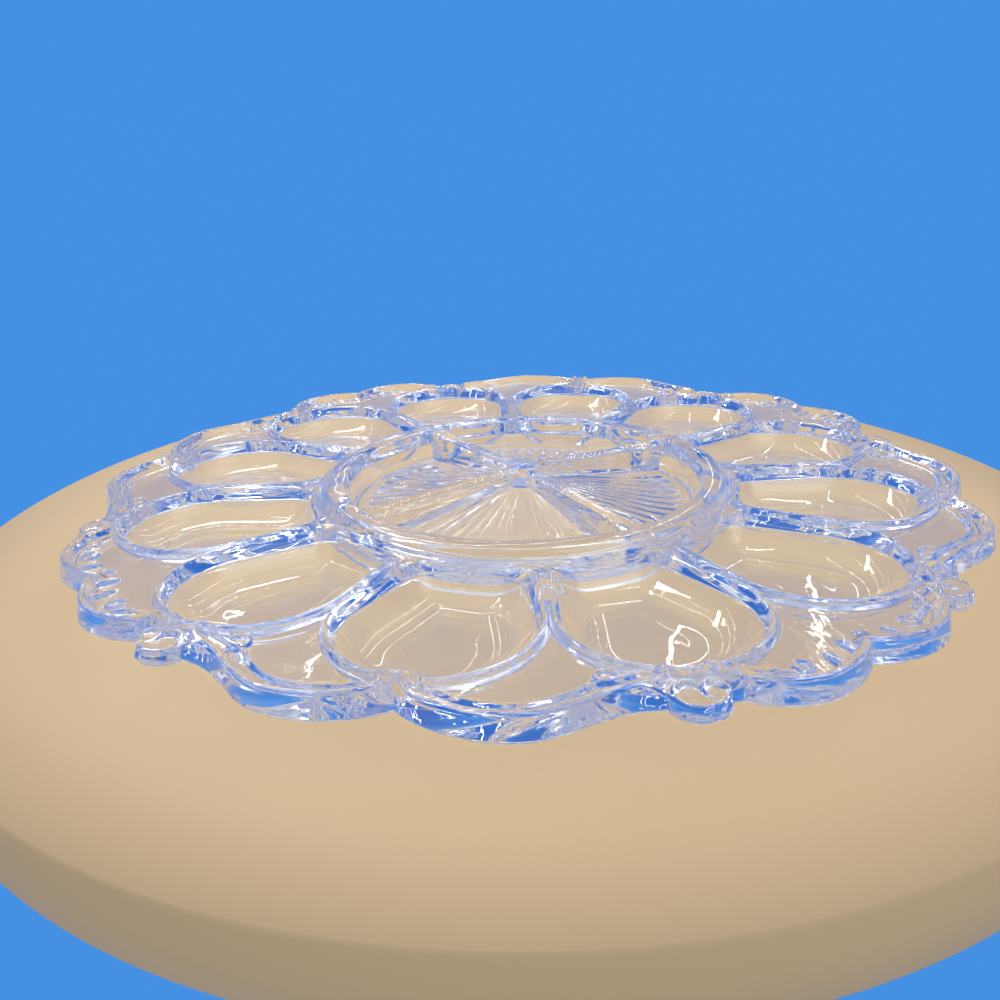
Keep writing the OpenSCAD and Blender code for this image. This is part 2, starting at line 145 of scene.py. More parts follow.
class PlatterStageSettings(bpy.types.PropertyGroup):
    """Floor, background, lamps and camera."""
    floor_colour: colour("Floor colour", "Colour of the round floor", (0.79, 0.575, 0.345))
    low_colour: colour("Background colour", "Colour of the background at eye level", (0.06, 0.28, 0.77))
    mid_colour: colour("Upper background", "Colour of the background a little higher up", (0.025, 0.14, 0.55))
    high_colour: colour("Overhead colour", "Colour of the space overhead", (0.70, 0.75, 0.84))
    floor_r: length("Floor radius", "Radius of the round floor", 0.179)
    lens: number("Lens", "Focal length in millimetres", 32.65)
    camera_side: number("Camera side", "Angle of the camera from the front, in degrees", 11.92)
    camera_far: length("Camera distance", "Level distance of the camera from the middle", 0.2811)
    camera_up: length("Camera height", "Height of the camera over the floor", 0.1134)
    camera_turn: number("Camera turn", "Heading of the camera, in degrees", 13.52)
    camera_tilt: number("Camera tilt", "Angle of the camera from straight down, in degrees", 69.03)
    camera_roll: number("Camera roll", "Roll of the camera, in degrees", -1.72)


WELLS = 12
QUARTERS = 4
WELL_STEP = 30.0
# Angles along one eighth of the rim, in degrees from a shell crest, and their half widths
SCROLL_AT = 27.0
LEAF_AT = 45.0
SHELL_HALF = 3.2
SCROLL_HALF = 3.4
LEAF_HALF = 6.6
OGEE_CREST_AT = 10.5
OGEE_END_AT = 22.0
PLAIN_START_AT = 31.0
PALMETTE_AT = 19.4
# Distances from the centre, in millimetres
WELL_FLOOR_R = 95.0
WIDE_CREST_R = 87.5
LOW_LIP_R = 67.5
SHELL_FAN_R = 109.0
PALMETTE_R = 123.0
# Distances inside the rim's outline, in millimetres, and half widths
BEAD_IN = 2.0
BEAD_HALF = 2.9
LINE_IN = 6.6
LINE_HALF = 1.25
FACE_START = 1.7
FACE_LEAN = 0.75
FACE_FOOT = 0.9
# Angles of the leaves of a spray, and for each of its curls the angle, the distance from the centre and the
# radius
LEAVES_AT = (43.5, 40.6)
LEAF_CURLS = ((37.4, 131.6, 2.0), (34.0, 130.4, 1.5))
# Each leaf's direction in degrees, its distance, half length and half width in millimetres, and its bend
PALMETTE_LEAVES = ((100, 5.4, 3.0, 1.5, 0.02), (-62, 5.8, 3.1, 1.4, -0.02), (-12, 5.6, 2.4, 1.2, -0.02))
# Height of the slow waves in millimetres, and each wave's length, its direction in degrees and its start
TOP_WAVE = 0.018
UNDER_WAVE = 0.03
WAVES = ((31.0, 20, 0.3), (23.0, 75, 1.9), (17.0, 140, 4.1), (12.0, 8, 2.2), (9.0, 110, 5.2))
# How far the floor lies below the foot, in metres, so that their faces don't coincide
FLOOR_GAP = 0.00004


def sizes():
    """All lengths in millimetres, and what follows from them: the inner edges of the ring and the foot, the
    middle of the ring's band, and the circles of a well's outline."""
    out = SimpleNamespace()
    for name in ("platter_wells", "platter_dish", "platter_rim"):
        group = getattr(bpy.context.scene, name)
        for key in group.bl_rna.properties.keys():
            value = getattr(group, key)
            if isinstance(value, float):
                setattr(out, key, value if key == "flute_step" else value / MM)
    out.ring_in, out.foot_in = out.ring_r - out.ring_w, out.foot_r - out.foot_w
    out.band_r = out.ring_r - out.ring_w / 2
    half = math.radians(WELL_STEP / 2)
    out.big_x = (out.well_out + out.divider_w / 2) / (1 + math.sin(half))
    out.big_r = out.well_out - out.big_x
    out.small_x = out.well_out - out.well_len + out.corner_r
    out.small_y = (out.small_x * math.sin(half) - out.corner_r - out.root_w / 2) / math.cos(half)
    gap = math.hypot(out.small_x - out.big_x, out.small_y)
    lean = math.asin((out.big_r - out.corner_r) / gap)
    out.touch = math.atan2(out.small_y, out.small_x - out.big_x) - math.pi / 2 + lean
    return out


# Plain shapes of numbers

def smooth_max(a, b, k):
    """The larger of two heights. Where they differ by less than k, the crease is filled by a parabola."""
    h = np.maximum(k - np.abs(a - b), 0.0) / k
    return np.maximum(a, b) + h * h * k / 4


def smooth_min(a, b, k):
    """The smaller of two heights, with the crease rounded over k."""
    return -smooth_max(-a, -b, k)


def ease(t):
    """Runs from 0 to 1 as t does, level at both ends: three t squared less two t cubed."""
    t = np.clip(t, 0.0, 1.0)
    return t * t * (3 - 2 * t)


def dome(t):
    """A smooth hump of height 1 between t = -1 and 1: the square of one less t squared."""
    return np.clip(1 - t * t, 0.0, 1.0) ** 2


def pad(q):
    """A pad with steep edges: the root of one less q, where q is the squared distance in half-widths."""
    return np.sqrt(np.clip(1 - q, 0.0, 1.0))


def hump(t):
    """Half a sine wave with steep ends: 0 at t = 0, 1 in the middle and 0 at t = 1."""
    return np.clip(np.sin(math.pi * np.clip(t, 0, 1)), 0, 1) ** 0.8


def halve(low, high, holds):
    """The place between low and high up to which a test holds, found by halving."""
    for _ in range(34):
        middle = (low + high) / 2
        held = holds(middle)
        low, high = np.where(held, middle, low), np.where(held, high, middle)
    return low


def polar(x, y):
    """Distance from the centre, and angle in degrees from the front, anticlockwise."""
    return np.hypot(x, y), np.degrees(np.arctan2(x, -y))


def spot(r, a):
    """The point at distance r and angle a in degrees from the front."""
    a = np.radians(a)
    return r * np.sin(a), -r * np.cos(a)


def folded(a):
    """The angle brought into one eighth of the rim, 0 at a shell crest and 45 at a leaf spray."""
    b = np.mod(a, 90.0)
    return np.where(b > 45.0, 90.0 - b, b)


def beside(r, a, at, where):
    """Distances outwards and sideways from the point at distance where and angle at."""
    return r * np.cos(np.radians(a - at)) - where, r * np.sin(np.radians(a - at))


# The platter's forms

def outline_distance(s, lx, ly):
    """Distance outwards from a well's outline, below zero inside it, at lx along the well's axis from the
    platter's middle and ly to its side. For each circle of the outline it is the distance to the circle
    along the nearest direction in which that circle is the outermost, and the larger of the two holds."""
    vx, vy = lx - s.big_x, ly
    off = np.maximum(np.arctan2(vy, vx) - s.touch, 0.0)
    big = np.hypot(vx, vy) * np.cos(off) - s.big_r
    vx, vy = lx - s.small_x, ly - s.small_y
    turn = np.arctan2(vy, vx)
    off = np.where(turn >= s.touch, 0.0, np.minimum(s.touch - turn, np.where(turn < 0, turn + math.pi, 9.0)))
    small = np.hypot(vx, vy) * np.cos(off) - s.corner_r
    return np.maximum(big, small)


def well_distance(s, x, y):
    """Distance outwards from the nearest well's outline, and distance to the plane half way between two
    wells."""
    r, a = polar(x, y)
    w = np.radians(a - WELL_STEP * np.round(a / WELL_STEP))
    d = outline_distance(s, r * np.cos(w), r * np.abs(np.sin(w)))
    return d, r * np.sin(math.radians(WELL_STEP / 2) - np.abs(w))


def lobe_radius(s, a):
    """Radius of the rim's outline at angle a without its scrolls. Each lobe is a raised sine or cosine of
    the angle between its two notches."""
    a = folded(a)
    crest = s.plate_r - s.crest_notch + (s.crest_notch - s.ogee_short) * hump(a / OGEE_CREST_AT / 2)
    share = np.clip((a - OGEE_CREST_AT) / (OGEE_END_AT - OGEE_CREST_AT), 0, 1)
    wave = 0.5 + 0.5 * np.cos(math.pi * share)
    ogee = s.plate_r - s.ogee_notch + (s.ogee_notch - s.ogee_short) * wave
    share = (a - OGEE_END_AT) / (PLAIN_START_AT - OGEE_END_AT)
    bridge = s.plate_r - s.ogee_notch + (s.ogee_notch - s.scroll_notch) * share
    share = (a - PLAIN_START_AT) / (LEAF_AT - PLAIN_START_AT)
    deep = s.scroll_notch + (s.leaf_notch - s.scroll_notch) * share
    plain = s.plate_r - deep * (1 - hump(share))
    ends = [a < OGEE_CREST_AT, a < OGEE_END_AT, a < PLAIN_START_AT]
    return np.select(ends, [crest, ogee, bridge], plain)


def rim_radius(s, a):
    """Radius of the rim's outline at angle a: the lobes, and the far side of each scroll's circle."""
    out, a = lobe_radius(s, a), folded(a)
    middle, side = beside(s.scroll_cr, a, SCROLL_AT, 0.0)
    far = middle + np.sqrt(np.clip(s.scroll_r ** 2 - side ** 2, 0, None))
    far = far - 0.35 * dome((a - 27.3) / 0.7)
    near = np.abs(a - SCROLL_AT) < SCROLL_HALF
    return np.where(near, np.maximum(out, far), out)


def rim_square(s, a):
    """How many millimetres along the radius make one millimetre square to the outline at angle a."""
    step = 0.05
    slope = (rim_radius(s, a + step) - rim_radius(s, a - step)) / math.radians(2 * step)
    return np.sqrt(1 + np.clip(slope / rim_radius(s, a), -0.9, 0.9) ** 2)


def rim_depth(s, r, a):
    """Distance inwards from the outline, measured square to it."""
    return (rim_radius(s, a) - r) / rim_square(s, a)


def shell_form(r, a):
    """Fan of ribs over a well's outer lip at a shell crest: a wave of the angle round a point inside the
    well, faded to both sides and both ends, on a low swelling."""
    u, v = beside(r, folded(a), 0.0, SHELL_FAN_R)
    turn, far = np.degrees(np.arctan2(v, u)), np.hypot(u, v)
    fade = dome(turn / 27.0) * ease((far - 9.5) / 3.0) * ease((22.0 - far) / 2.0)
    ribs = np.abs(np.cos(np.radians(turn * 180 / 7.0)))
    scallops = 0.5 + 0.5 * np.cos(2 * math.pi * far / 2.6 + ribs)
    return fade * (0.5 + 0.95 * ribs + 0.45 * scallops)


def leaf_form(s, r, a):
    """Two leaves on each side of a leaf notch, and their curls. A leaf is an oval pad with a groove along
    it, and a curl is a hump along an open ring."""
    b = folded(a)
    out = np.zeros_like(r)
    for at in LEAVES_AT:
        middle = rim_radius(s, np.full(1, at))[0] - 2.2 - s.leaf_len / 2
        u, v = beside(r, b, at, middle)
        v = v + 0.10 * u
        q = (2 * u / s.leaf_len) ** 2 + (2 * v / (s.leaf_w * (1 - 0.05 * u))) ** 2
        out = np.maximum(out, s.leaf_h * pad(q) - 0.55 * dome(v / 0.6) * dome(u / 3.0))
    for at, where, size in LEAF_CURLS:
        u, v = beside(r, b, at, where)
        far, turn = np.hypot(u, v), np.arctan2(v, u)
        ring = dome((far - size) / 0.85) * ease((turn + 2.6) / 0.8)
        out = np.maximum(out, 1.2 * ring)
        out = np.maximum(out, 0.8 * pad((far / 0.8) ** 2))
    return out


def spandrel_form(r, a):
    """Palmette at the tip of the glass between two wells: a ring with a hollow in it, a leaf on each side
    and a small one in front. The hollow lowers the plate, and the rest is raised."""
    u, v = beside(r, folded(a), PALMETTE_AT, PALMETTE_R)
    far = np.hypot(u, v)
    out = 1.35 * dome((far - 2.3) / 0.95) - 0.9 * dome(far / 1.7)
    for turn, where, long, wide, bend in PALMETTE_LEAVES:
        cos, sin = math.cos(math.radians(turn)), math.sin(math.radians(turn))
        along = cos * u + sin * v
        p, q = along - where, cos * v - sin * u + bend * along ** 2
        leaf = 1.35 * pad((p / long) ** 2 + (q / wide) ** 2) - 0.5 * dome(q / 0.5) * dome(p / 2.0)
        out = np.where(far > 3.2, np.maximum(out, leaf), out)
    return out


def scroll_form(s, r, a):
    """Scroll on the rim's outer slope: a round base that leans outwards and down. It carries a small curl
    on the side of the leaf spray, a hollow with a raised edge on the other side, and a bead between them.
    Returns its share of the height, 0 where there is no scroll, and its own height over the plate."""
    u, v = beside(r, folded(a), SCROLL_AT, s.scroll_cr)
    inside = ease((s.scroll_r + 0.9 - np.hypot(u, v)) / 2.2)
    base = np.clip(1.1 - 0.31 * (u + 4.5), -2.1, 1.1)
    curl_u, curl_v, curl_r = 1.4, 3.5, 2.45
    cup_u, cup_v, cup_r = 0.9, -2.3, 3.2
    bead_u, bead_v = 4.9, 0.4
    far, turn = np.hypot(u - curl_u, v - curl_v), np.arctan2(v - curl_v, u - curl_u)
    curl = 1.25 * dome((far - curl_r + 0.22 * turn) / 1.05) - 0.7 * dome(far / 1.3)
    far = np.hypot((u - cup_u) / 1.1, v - cup_v)
    cup = 0.8 * dome((far - cup_r) / 0.9) - 1.2 * dome(far / 2.8)
    bead = 0.9 * pad(((u - bead_u) ** 2 + (v - bead_v) ** 2) / 0.9)
    raised = np.maximum(np.maximum(curl, cup), bead)
    hollow = np.minimum(np.minimum(curl, cup), 0.0)
    return inside, base + raised + hollow


def bowl(d, run, low, high, power):
    """Height of a bowl's wall: it falls from high at d = 0 to low at d = -run as a power of the way left to
    go, and goes on rising straight outside."""
    share = np.clip(1 + d / run, 0.0, 1.0)
    return low + (high - low) * (share ** power + power * np.maximum(d, 0) / run)


def slow_waves(x, y, size):
    """Faint unevenness of pressed glass: the sum of five plane waves 9 to 31 mm long."""
    out = np.zeros_like(x)
    for long, turn, start in WAVES:
        along = x * math.cos(math.radians(turn)) + y * math.sin(math.radians(turn))
        out += np.sin(2 * math.pi * along / long + start)
    return out * size / 3


def dish_cone(s, r, low):
    """A level floor at height low that rises as a cone to the boss."""
    slope = s.dish_rise / (s.cone_r - s.boss_r)
    return smooth_max(np.full_like(r, low), low + slope * (s.cone_r - r), 1.6)


def dish_top(s, r, a):
    """Top of the centre dish: its cone carries a fan of flutes, four ribs with notched shoulders, and the
    domed boss."""
    quarter = np.abs(np.mod(a + 45.0, 90.0) - 45.0)
    fade = ease((36.0 - quarter) / 5.0) * ease((s.dish_r - 2.0 - r) / 4.0)
    flute = 1 - np.abs(np.cos(np.radians(quarter * 180 / s.flute_step)))
    deep = 0.4 * np.clip(r / s.cone_r, 0, 1)
    floor = dish_cone(s, r, s.dish_z) + fade * deep * (flute - 0.5)
    turn = np.radians(45.0 - quarter)
    along, side = r * np.cos(turn), r * np.sin(turn)
    crest = s.boss_z - 0.9 - 2.4 * (along - s.boss_r) / (s.ring_in - s.boss_r)
    half = s.rib_w / 2 + 1.3 * ease((along - s.cone_r + 3) / 11.0)
    notch = 0.5 - 0.5 * np.cos(2 * math.pi * along / s.notch_pitch)
    ends = ease((along - s.boss_r - 1.5) / 2.0) * ease((s.dish_r - 1.0 - along) / 3.0)
    rib = crest - 0.95 * (side / half) ** 2 - 0.42 * notch * ends * dome(side / (1.05 * half))
    rib = smooth_min(rib, crest + 6.5 * (half * 0.92 - side), 0.9)
    out = smooth_max(floor, rib, 1.2)
    boss = smooth_min(s.boss_z - 0.5 * (r / s.boss_r) ** 2, s.boss_z - 0.7 + 6.0 * (s.boss_r - 0.4 - r), 1.2)
    boss = np.minimum(boss, s.boss_z)
    return smooth_max(out, boss, 0.5)


def ring_top(s, r, a):
    """Top of the raised ring: a gently crowned band with a steep outer side and a leaning inner wall.
    Small hollows mark where the ribs meet it."""
    crown = s.ring_z - 0.45 * ((r - s.band_r) / (s.ring_w / 2)) ** 2
    turn = np.abs(np.mod(a, 90.0) - 45.0)
    mark = dome((turn - 4.6) / 1.5) + 0.7 * dome((turn - 8.0) / 1.3)
    crown = crown - 0.9 * mark * dome((r - s.ring_in) / 3.2)
    outer = s.ring_z - 0.6 + 1.25 * (s.ring_r - 0.6 - r)
    edge_z = s.ring_z - 0.8
    inner = edge_z + (edge_z - s.dish_z) * (r - s.ring_in) / (s.ring_in - s.dish_r)
    return smooth_min(smooth_min(crown, outer, 1.1), inner, 1.3)


def land_height(s, r, d, e):
    """Height of the glass between the wells. It rises from a well's outline, d away, to a rounded crest and
    falls from there to the plate or the collar. The crest lies at most half way to the next well, e away. It
    is broad over the inner part of a divider, narrower further out, and low beside the ring."""
    root = ease((r - s.collar_r + 0.6) / 1.6)
    broad = 1 - ease((r - WIDE_CREST_R) / 3.5)
    crest = 0.9 + root * (1.15 + 2.4 * broad)
    reach = np.maximum(np.minimum(d + e, crest), 0.05)
    rise = np.clip(d / reach, 0.0, 1.0)
    lip = s.lip_z - s.crown * (1 - rise) ** 2 - 1.5 * (1 - ease((r - LOW_LIP_R) / 3.0))
    low = s.collar_z + (s.plate_z - s.collar_z) * ease((r - s.collar_r) / 4.0)
    return lip + (low - lip) * ease((d - reach) / (0.8 + 0.7 * root))


def rim_height(s, r, a):
    """Height of the rim, 0 further in. A bead and a fine line follow the outline, and give way inwards at a
    scroll. Leaves and palmettes lie over the plate, and a scroll replaces the bead by its share."""
    f = folded(a)
    clear = ease((f - 2.2) / 2.5) * ease((LEAF_AT - 7.6 - f) / 3.0)
    aside = dome((f - SCROLL_AT) / 6.0)
    beyond = np.where(np.abs(f - SCROLL_AT) < SCROLL_HALF, rim_radius(s, a) - lobe_radius(s, a), 0.0)
    b = rim_depth(s, r, a) - 3.6 * aside - beyond
    bead = (s.bead_z - s.plate_z) * dome((b - BEAD_IN) / BEAD_HALF)
    line = (s.lip_z - s.plate_z) * dome((b - LINE_IN) / LINE_HALF) * clear * (1 - aside)
    forms = np.maximum(leaf_form(s, r, a), spandrel_form(r, a))
    rim = smooth_max(s.plate_z + np.maximum(bead, line), s.plate_z + forms, 0.35)
    share, scroll = scroll_form(s, r, a)
    outer = s.plate_z + bead - 1.2 * ease((BEAD_IN - b) / 4.0)
    scroll = smooth_max(s.plate_z + scroll, outer, 0.8)
    rim = np.where(b < BEAD_IN, rim + share * (scroll - rim), rim)
    return np.where(r > s.split_r - 2, rim, 0.0)


def top_height(s, x, y):
    """Height of the platter's top at a place: the land between the wells and the rim, with the ring and the
    centre dish over them, the wells sunk into them, and the shell crests on top."""
    r, a = polar(x, y)
    d, e = well_distance(s, x, y)
    out = smooth_max(land_height(s, r, d, e), rim_height(s, r, a), 0.6)
    out = smooth_max(np.where(r < s.band_r, dish_top(s, r, a), out), ring_top(s, r, a), 0.9)
    cavity = bowl(d, s.bowl_run, s.floor_z, s.lip_z - s.crown, power=2.6)
    out = np.where(r > s.band_r, smooth_min(out, cavity, 1.1), out)
    out = out + np.where(d > -7, shell_form(r, a), 0.0)
    return np.minimum(out + slow_waves(x, y, TOP_WAVE), s.boss_z - 0.02)


def under_height(s, x, y):
    """Height of the platter's underside at a place: level under the rim, a pocket under each well with
    leaning sides and a rounded floor, and the dish's cone at an even thickness."""
    r, d = np.hypot(x, y), well_distance(s, x, y)[0]
    pocket = bowl(d - s.lip_w, s.bowl_run, s.under_z, s.rim_z, power=3.0)
    out = smooth_min(np.full_like(r, s.rim_z), pocket, 1.2)
    neck_r = s.ring_r + 0.4
    neck = s.foot_h + (s.rim_z - s.foot_h) * ease((r - s.foot_r) / (neck_r - s.foot_r))
    out = np.where(r < neck_r, neck, out)
    low = s.dish_z - s.dish_t
    cone = np.minimum(dish_cone(s, r, low), low + s.dish_rise)
    out = np.where(r < s.foot_in + 0.001, cone, out)
    return out + slow_waves(y + 40, -x, UNDER_WAVE)


def surface(s, height, x, y, way):
    """Points of a height field over a grid of places, and its unit normals from the slopes over a short
    step. way is 1 for a top and -1 for an underside."""
    h = 0.05
    dx = (height(s, x + h, y) - height(s, x - h, y)) / (2 * h)
    dy = (height(s, x, y + h) - height(s, x, y - h)) / (2 * h)
    n = np.stack([-dx, -dy, np.ones_like(dx)], -1) * way
    return np.stack([x, y, height(s, x, y)], -1), n / np.linalg.norm(n, axis=-1, keepdims=True)


def section(s, x, y):
    """Points and normals of sections that run over the top of a grid of places and back below it."""
    top, up = surface(s, top_height, x, y, 1)
    low, down = surface(s, under_height, x, y, -1)
    return np.concatenate([top, low[:, ::-1]], 1), np.concatenate([up, down[:, ::-1]], 1)


# Mesh making

GLASS = 0
SEAM = 1


def seams(count, *places):
    """Marks for the steps round a section: seam at the places where it meets another piece, else glass."""
    out = np.full(count, GLASS)
    out[list(places)] = SEAM
    return out


def add_object(name, data):
    """Puts a mesh, a lamp or a camera into the scene."""
    made = bpy.data.objects.new(name, data)
    bpy.context.scene.collection.objects.link(made)
    return made


def add_piece(node, points, normals, faces, marks, slot):
    """Makes the glass piece that stands for a node. points are in millimetres, faces are index arrays of
    equal length each, and marks tell glass from seam faces. A shell with negative volume is turned the
    right way round."""
    name = node + ".glass"
    corners = [np.stack([f[:, 0], f[:, i], f[:, i + 1]], 1) for f in faces for i in range(1, f.shape[1] - 1)]
    p = points[np.concatenate(corners)]
    if np.einsum("ij,ij->i", p[:, 0], np.cross(p[:, 1], p[:, 2])).sum() < 0:
        faces = [f[:, ::-1] for f in faces]
    mesh = bpy.data.meshes.new(name)
    mesh.vertices.add(len(points))
    mesh.vertices.foreach_set("co", (points * MM).astype(np.float32).ravel())
    loops = np.concatenate([f.ravel() for f in faces]).astype(np.int32)
    counts = np.concatenate([np.full(len(f), f.shape[1]) for f in faces])
    mesh.loops.add(len(loops))
    mesh.loops.foreach_set("vertex_index", loops)
    mesh.polygons.add(len(counts))
    mesh.polygons.foreach_set("loop_start", (np.cumsum(counts) - counts).astype(np.int32))
    mesh.polygons.foreach_set("material_index", np.concatenate(marks).astype(np.int32))
    mesh.polygons.foreach_set("use_smooth", np.ones(len(counts), bool))
    mesh.update(calc_edges=True)
    mesh.validate()
    mesh.normals_split_custom_set_from_vertices(normals.tolist())
    mesh.materials.append(glass_material(slot))
    mesh.materials.append(seam_material())
    piece = add_object(name, mesh)
    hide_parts(node)
    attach(piece, "root")


def grid_faces(index, closed_a, closed_b):
    """Four-cornered faces of an index grid, with either direction closed on itself."""
    a = np.concatenate([index, index[:1]]) if closed_a else index
    a = np.concatenate([a, a[:, :1]], 1) if closed_b else a
    return np.stack([a[:-1, :-1], a[:-1, 1:], a[1:, 1:], a[1:, :-1]], -1)


def end_caps(index, top_count):
    """Faces that close the first and last section of an open row of sections: a strip between the top and
    the underside, and one face for the rest. Each is wound against the sides' faces that it meets."""
    back, faces = index.shape[1] - top_count, []
    for row, turn in ((index[0], 1), (index[-1], -1)):
        top, low = row[:top_count], row[back:][::-1]
        faces.append(np.stack([top[:-1], low[:-1], low[1:], top[1:]], -1)[:, ::turn])
        rest = np.concatenate([[top[-1]], row[top_count:back], [low[-1]]])
        if len(rest) > 2:
            faces.append(rest[None, ::-turn])
    return faces


def stretch(node, runs, seam, top_count, slot):
    """Closed blocks, each from a row of closed sections. A section runs over the top, down the far side
    and back along the underside. The first and last sections are closed by faces between the top and the
    underside. runs holds the points and normals of each block, and seam marks the steps round a section."""
    every, turns, faces, kinds, offset = [], [], [], [], 0
    for points, normals in runs:
        n, m = points.shape[:2]
        index = np.arange(n * m).reshape(n, m) + offset
        caps = end_caps(index, top_count)
        faces += [grid_faces(index, False, True).reshape(-1, 4), *caps]
        kinds += [np.broadcast_to(seam, (n - 1, m)).ravel(), *[np.full(len(cap), SEAM) for cap in caps]]
        every.append(points.reshape(-1, 3))
        turns.append(normals.reshape(-1, 3))
        offset += n * m
    add_piece(node, np.concatenate(every), np.concatenate(turns), faces, kinds, slot)


def turned(node, points, normals, poles, slot):
    """Closed block from sections that run from a top pole over the top, down a seam and back to a pole
    below, once round."""
    n, m = points.shape[:2]
    index = np.arange(n * m).reshape(n, m)
    after = np.roll(index, -1, 0)
    above = np.stack([np.full(n, n * m), index[:, 0], after[:, 0]], -1)
    below = np.stack([np.full(n, n * m + 1), after[:, -1], index[:, -1]], -1)
    faces = [grid_faces(index, True, False).reshape(-1, 4), above, below]
    seam = np.broadcast_to(seams(m - 1, m // 2 - 1), (n, m - 1)).ravel()
    kinds = [seam, np.full(n, GLASS), np.full(n, GLASS)]
    every = np.concatenate([points.reshape(-1, 3), poles])
    turns = np.concatenate([normals.reshape(-1, 3), [[0, 0, 1], [0, 0, -1]]])
    add_piece(node, every, turns, faces, kinds, slot)


def ringed(node, points, normals, seam, slot):
    """Closed ring from closed sections, once round."""
    n, m = points.shape[:2]
    faces = grid_faces(np.arange(n * m).reshape(n, m), True, True).reshape(-1, 4)
    marks = np.broadcast_to(seam, (n, m)).ravel()
    add_piece(node, points.reshape(-1, 3), normals.reshape(-1, 3), [faces], [marks], slot)


def fine(count):
    return max(4, int(count / (1)))


def pole_points(s, x, y):
    """The point of the top and the point of the underside at one place."""
    x, y = np.array([x]), np.array([y])
    return np.array([[x[0], y[0], top_height(s, x, y)[0]], [x[0], y[0], under_height(s, x, y)[0]]])


def block(s, node, x, y, slot):
    """Closed block over a grid of places, with a seam on all four sides."""
    m = x.shape[1]
    stretch(node, [section(s, x, y)], seams(2 * m, m - 1, 2 * m - 1), m, slot)


def well_edge(s, turn, out):
    """Distance from a well's floor point to its outline moved outwards by out, along each direction."""
    def inside(far):
        """True where the point still lies within the well's edge."""
        lx = WELL_FLOOR_R + far * np.cos(turn)
        return outline_distance(s, lx, np.abs(far * np.sin(turn))) < out

    return halve(np.zeros_like(turn), np.full_like(turn, s.well_len + s.lip_w), inside)


# Materials

def new_material(name):
    """A material and its node tree, which holds a Principled shader and an output."""
    material = bpy.data.materials.new(name)
    material.use_nodes = True
    return material, material.node_tree


def fill(node, **values):
    """Sets a node's input sockets. A socket's name is written with _ for a space."""
    for label, value in values.items():
        node.inputs[label.replace("_", " ")].default_value = value


def add_node(tree, kind, **values):
    """A new shader node with its input sockets set."""
    node = tree.nodes.new("ShaderNode" + kind)
    fill(node, **values)
    return node


def wire(tree, *ends):
    """Links nodes. Each end is a node, its output, and the node and the input that it feeds."""
    for source, output, target, entry in ends:
        tree.links.new(source.outputs[output], target.inputs[entry])


def ramp_node(tree, stops):
    """A colour ramp with stops, each a position and a colour."""
    ramp = add_node(tree, "ValToRGB")
    elements = ramp.color_ramp.elements
    for n, (at, shade) in enumerate(stops):
        stop = elements[n] if n < 2 else elements.new(at)
        stop.position, stop.color = at, (*shade, 1.0)
    return ramp


def split_by_ray(tree, kinds, plain, special, out):
    """Puts out the special shader to rays of the named kinds, and the plain one to all other rays."""
    path, mix = add_node(tree, "LightPath"), add_node(tree, "MixShader")
    share = path.outputs[kinds[0]]
    for kind in kinds[1:]:
        larger = add_node(tree, "Math")
        larger.operation = "MAXIMUM"
        tree.links.new(share, larger.inputs[0])
        tree.links.new(path.outputs[kind], larger.inputs[1])
        share = larger.outputs["Value"]
    tree.links.new(share, mix.inputs["Fac"])
    wire(tree, (plain, 0, mix, 1), (special, 0, mix, 2), (mix, "Shader", add_node(tree, out), "Surface"))


def ripple_group():
    """Node group: the fine unevenness of fire-polished glass, as a height and a small change of roughness."""
    name = "Fire-polish ripple"
    if name in bpy.data.node_groups:
        return bpy.data.node_groups[name]
    tree = bpy.data.node_groups.new(name, "ShaderNodeTree")
    for label in ("Ripple size", "Streak size", "Roughness low", "Roughness high"):
        tree.interface.new_socket(name=label, in_out="INPUT", socket_type="NodeSocketFloat")
    for label in ("Height", "Roughness"):
        tree.interface.new_socket(name=label, in_out="OUTPUT", socket_type="NodeSocketFloat")
    inside, outside = tree.nodes.new("NodeGroupInput"), tree.nodes.new("NodeGroupOutput")
    place = add_node(tree, "TexCoord")
    ripple = add_node(tree, "TexNoise", Detail=1.5)
    tall = add_node(tree, "Mapping", Scale=(1.0, 1.0, 0.15))
    streak = add_node(tree, "TexNoise", Detail=3.0)
    both = add_node(tree, "Math")
    both.operation = "MULTIPLY_ADD"
    both.inputs[1].default_value = 0.35
    wear = add_node(tree, "MapRange")
    wire(
        tree,
        (place, "Object", ripple, "Vector"),
        (inside, "Ripple size", ripple, "Scale"),
        (place, "Object", tall, "Vector"),
        (tall, "Vector", streak, "Vector"),
        (inside, "Streak size", streak, "Scale"),
        (streak, "Fac", both, 0),
        (ripple, "Fac", both, 2),
        (both, "Value", outside, "Height"),
        (streak, "Fac", wear, "Value"),
        (inside, "Roughness low", wear, "To Min"),
        (inside, "Roughness high", wear, "To Max"),
        (wear, "Result", outside, "Roughness"),
    )
    return tree


# For each slot, the scale of its ripple and of its streaks, its bump's strength and its range of roughness
FINISHES = {
    "glass_wells": dict(ripple=90.0, streak=260.0, bump=0.02, rough=(0.0, 0.008)),
    "glass_dish": dict(ripple=140.0, streak=300.0, bump=0.035, rough=(0.0, 0.01)),
    "glass_rim": dict(ripple=110.0, streak=420.0, bump=0.04, rough=(0.0, 0.01)),
    "glass_ornament": dict(ripple=260.0, streak=500.0, bump=0.06, rough=(0.0, 0.015)),
    "glass_foot": dict(ripple=120.0, streak=300.0, bump=0.12, rough=(0.01, 0.06)),
}


